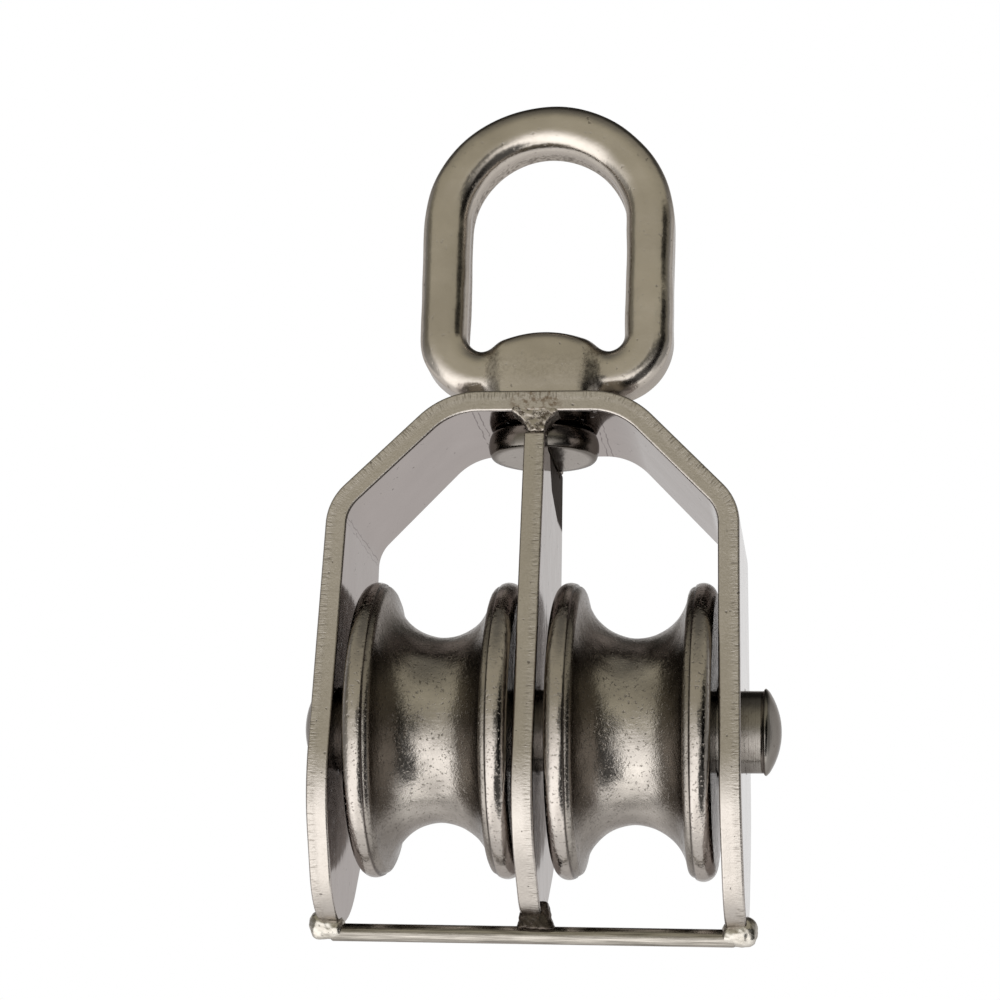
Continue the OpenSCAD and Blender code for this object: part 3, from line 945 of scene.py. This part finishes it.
def cast_eye(name):
    """Tumbled cast steel, left rough on the rear of the ring's inside and about the boss."""
    f = Finish(name)
    inner, joint = f.mark("inner"), f.mark("joint")
    rear = f.range(f.height_mm(1), -0.9, 0.1)
    rough_part = f.math("MAXIMUM", f.both(f.range(inner, 0.8, 0.95), rear), f.times(joint, 0.8))
    broad = f.noise(9, 4)
    fine = f.noise(0.3, 4, 0.6)
    spots = f.range(f.noise(0.6, 3), 0.66, 0.74)
    grime = f.range(f.noise(0.4, 3, 0.6), 0.45, 0.62)
    colour = f.mix(f.range(broad, 0.35, 0.65), (0.41, 0.37, 0.325), (0.50, 0.455, 0.405))
    colour = f.mix(f.times(spots, 0.5), colour, (0.14, 0.12, 0.10))
    colour = f.mix(f.times(rough_part, f.times(grime, 0.75)), colour, (0.09, 0.07, 0.055))
    rough = f.plus(f.range(rough_part, 0, 1, 0.2, 0.36), f.range(fine, 0.3, 0.7, -0.03, 0.05))
    f.set(Base_Color=colour, Roughness=rough)
    normal = f.bump(f.noise(3.5, 3), 0.08)
    normal = f.bump(f.times(fine, f.range(rough_part, 0, 1, 0.2, 1.0)), 0.05, normal)
    f.set(Normal=f.bump(spots, -0.03, normal))
    return f.material


def turned_steel(name, axis, deep, pale, painted_reflection_rim=None):
    """Steel with turning rings about an axis, with a painted dark reflection that darkens the rim
    between its two given radii.
    """
    f = Finish(name)
    place = [0.0, 0.0, 0.0]
    place[axis] = f.height_mm(axis)
    rings = f.noise(0.12, 2, 0.6, f.join(*place))
    broad = f.noise(2.5, 4)
    spots = f.range(f.noise(0.7, 3), 0.64, 0.72)
    colour = f.mix(broad, deep, pale)
    colour = f.mix(f.times(spots, 0.6), colour, (0.10, 0.08, 0.065))
    # Painted dark reflection on the rim, darkening from the first radius to the second.
    if painted_reflection_rim:
        across = f.join(f.height_mm(0), f.height_mm(1), 0.0)
        out = f.node("VectorMath", {0: across}, 1, operation="LENGTH")
        colour = f.mix(f.range(out, *painted_reflection_rim, 0, 0.75), colour, (0.07, 0.06, 0.05))
    f.set(Base_Color=colour, Roughness=f.range(broad, 0.3, 0.7, 0.14, 0.26))
    f.set(Normal=f.bump(f.noise(0.6, 3), 0.02, f.bump(rings, 0.008)))
    return f.material


def drawn_rod(name):
    """Drawn rod with fine lines along it. The lines' place is in metres."""
    f = Finish(name)
    x, y, z = f.split(f.place)
    lines = f.noise(0.16 * MM, 3, 0.6, f.join(f.times(x, 0.03), y, z))
    broad = f.noise(3, 3)
    colour = f.mix(f.range(lines, 0.35, 0.65), (0.17, 0.155, 0.135), (0.40, 0.37, 0.33))
    f.set(Base_Color=colour, Roughness=f.range(broad, 0.3, 0.7, 0.15, 0.26))
    f.set(Normal=f.bump(f.noise(0.5, 3), 0.02, f.bump(lines, 0.02)))
    return f.material


def weld_metal(name, deep, pale, pit_start):
    """Weld metal from deep to pale, with more pits the lower pit_start is."""
    f = Finish(name)
    broad = f.noise(1.3, 4)
    pits = f.range(f.noise(0.5, 4, 0.6), pit_start, pit_start + 0.12)
    colour = f.mix(f.range(broad, 0.35, 0.65), deep, pale)
    colour = f.mix(f.times(pits, 0.8), colour, (0.07, 0.05, 0.035))
    f.set(Base_Color=colour, Roughness=f.range(broad, 0.3, 0.7, 0.22, 0.38))
    f.set(Normal=f.bump(broad, 0.10, f.bump(pits, -0.06)))
    return f.material


# ---------------------------------------------------------------- the pieces

cast = cast_sheave("Cast_sheave_steel")
crown_metal = weld_metal("Crown_weld_metal", (0.27, 0.235, 0.20), (0.43, 0.39, 0.345), 0.50)
dark_metal = weld_metal("Dark_weld_metal", (0.035, 0.03, 0.026), (0.12, 0.10, 0.085), 0.56)
bright_metal = weld_metal("Bright_weld_metal", (0.40, 0.37, 0.325), (0.56, 0.53, 0.48), 0.66)
strap_metal = sheet_steel("Strap_steel", press_lines)
plate_metal = sheet_steel("Plate_steel", dark_streak)
axle_metal = turned_steel("Axle_steel", 0, (0.17, 0.155, 0.14), (0.28, 0.26, 0.235))
# The pin head's rounded rim, 4.9 to 5.5 mm out, gets a painted dark reflection.
pin_metal = turned_steel("Pin_steel", 2, (0.34, 0.315, 0.285), (0.47, 0.44, 0.41), (4.9, 5.5))

finish_piece(strap(), "strap_frame", "frame", strap_metal)
finish_piece(centre_plate(), "centre_plate", "frame", plate_metal)
finish_piece(axle(), "axle", "frame", axle_metal)
finish_piece(guard_rod(), "guard_rod", "frame", drawn_rod("Rod_steel"))
finish_piece(sheave("Left_sheave", "left_sheave"), "left_sheave", "left_wheel", cast)
finish_piece(sheave("Right_sheave", "right_sheave"), "right_sheave", "right_wheel", cast)
finish_piece(eye(), "swivel_eye", "eye", cast_eye("Cast_eye_steel"))
finish_piece(swivel_pin(), "swivel_pin", "eye", pin_metal)
for side in ("front", "rear"):
    node = f"{side}_crown_weld"
    finish_piece(crown_weld(node.capitalize(), node), node, "frame", crown_metal)
for side in ("left", "right"):
    node = f"{side}_rod_weld"
    finish_piece(rod_end_weld(node.capitalize(), node), node, "frame", bright_metal)
finish_piece(centre_rod_weld(), "centre_rod_weld", "frame", dark_metal)


# ---------------------------------------------------------------- camera, floor and light


def camera():
    """The camera, placed by its position in millimetres from the axle's centre and its turn."""
    data = bpy.data.cameras.new("Camera")
    data.lens = CAMERA_LENS
    data.sensor_width = 36
    data.clip_start, data.clip_end = 0.01, 50
    rig = bpy.data.objects.new("Camera", data)
    bpy.context.scene.collection.objects.link(rig)
    yaw, pitch, roll = CAMERA_TURN
    ahead = Vector((-math.sin(yaw) * math.cos(pitch), math.cos(yaw) * math.cos(pitch), math.sin(pitch)))
    right = Vector((math.cos(yaw), math.sin(yaw), 0))
    up = right.cross(ahead)
    right, up = (
        math.cos(roll) * right - math.sin(roll) * up,
        math.sin(roll) * right + math.cos(roll) * up,
    )
    turn = Matrix((right, up, -ahead)).transposed().to_4x4()
    rig.matrix_world = Matrix.Translation(Vector(np.array(CAMERA_AT) * MM + AXLE)) @ turn
    bpy.context.scene.camera = rig


def floor():
    """A plain pale floor, bright enough to meet the white room, and left out of reflections."""
    size = FLOOR_HALF * MM
    z = CAD_BOX[0].z - FLOOR_GAP * MM
    corners = [(-size, -size, z), (size, -size, z), (size, size, z), (-size, size, z)]
    mesh = bpy.data.meshes.new("Floor")
    mesh.from_pydata(corners, [], [(0, 1, 2, 3)])
    piece = bpy.data.objects.new("Floor", mesh)
    bpy.context.scene.collection.objects.link(piece)
    f = Finish("Pale_floor", 0.0)
    f.set(Base_Color=f.mix(f.noise(60), (0.86, 0.86, 0.85), (0.90, 0.90, 0.89)), Roughness=0.6)
    f.set(Emission_Color=(1.0, 1.0, 1.0), Emission_Strength=0.9)
    piece.data.materials.append(f.material)
    piece.visible_glossy = False


def floor_wash():
    """A soft rectangular light below the block that shines down on the floor."""
    data = bpy.data.lights.new("Floor_wash", "AREA")
    data.shape = "RECTANGLE"
    data.size = data.size_y = WASH_SIZE * MM
    data.energy = WASH_POWER
    lamp = bpy.data.objects.new("Floor_wash", data)
    bpy.context.scene.collection.objects.link(lamp)
    lamp.location = Vector(np.array(WASH_AT) * MM + AXLE)
    lamp.rotation_euler = Vector(WASH_AT).to_track_quat("-Z", "Y").to_euler()


def curve(nodes, value, stops):
    """A smooth curve led by stops of (value from -1 to 1, level, warmth)."""
    node = nodes.tree.nodes.new("ShaderNodeValToRGB")
    node.color_ramp.interpolation = "B_SPLINE"
    while len(node.color_ramp.elements) < len(stops):
        node.color_ramp.elements.new(0.5)
    for element, (at, level, warmth) in zip(node.color_ramp.elements, stops):
        element.position = (at + 1) / 2
        tint = [level / ROOM_POWER * (1 - warmth * (1 - c)) for c in ROOM_WARMTH]
        element.color = (*tint, 1)
    nodes.put(node.inputs[0], nodes.range(value, -1.0, 1.0))
    return node.outputs[0]


def studio():
    """A soft room: a white back wall, bright low in front, dark high at the back. The metal
    reflects it, and straight into the camera it is plain white."""
    world = bpy.data.worlds.new("Studio")
    bpy.context.scene.world = world
    world.use_nodes = True
    nodes = Nodes(world.node_tree)
    way = nodes.tree.nodes.new("ShaderNodeTexCoord").outputs["Generated"]
    x, y, z = nodes.split(way)
    front = curve(nodes, z, ROOM_FRONT)
    back = curve(nodes, z, ROOM_BACK)
    level = nodes.mix(nodes.range(y, *ROOM_TURN, smooth=True), front, back)
    start, end, left_over = ROOM_SIDES
    side = nodes.range(nodes.math("ABSOLUTE", x), start, end, 1.0, left_over, True)
    level = nodes.node("VectorMath", {0: level, "Scale": side}, operation="SCALE")
    for towards, wide, narrow, left_over in ROOM_SPOTS:
        towards = Vector(towards).normalized()
        near = nodes.node("VectorMath", {0: way, 1: towards}, 1, operation="DOT_PRODUCT")
        near = nodes.range(
            near, math.cos(math.radians(wide)), math.cos(math.radians(narrow)), 1.0, left_over, True
        )
        level = nodes.node("VectorMath", {0: level, "Scale": near}, operation="SCALE")
    level = nodes.mix(nodes.range(y, *ROOM_WALL, smooth=True), level, WHITE_WALL)
    level = nodes.mix(nodes.node("LightPath", {}, "Is Camera Ray"), level, WHITE_WALL)
    shader = nodes.tree.nodes["Background"]
    nodes.put(shader.inputs["Color"], level)
    shader.inputs["Strength"].default_value = ROOM_POWER


camera()
floor()
floor_wash()
studio()
bpy.context.scene.view_settings.view_transform = "Standard"
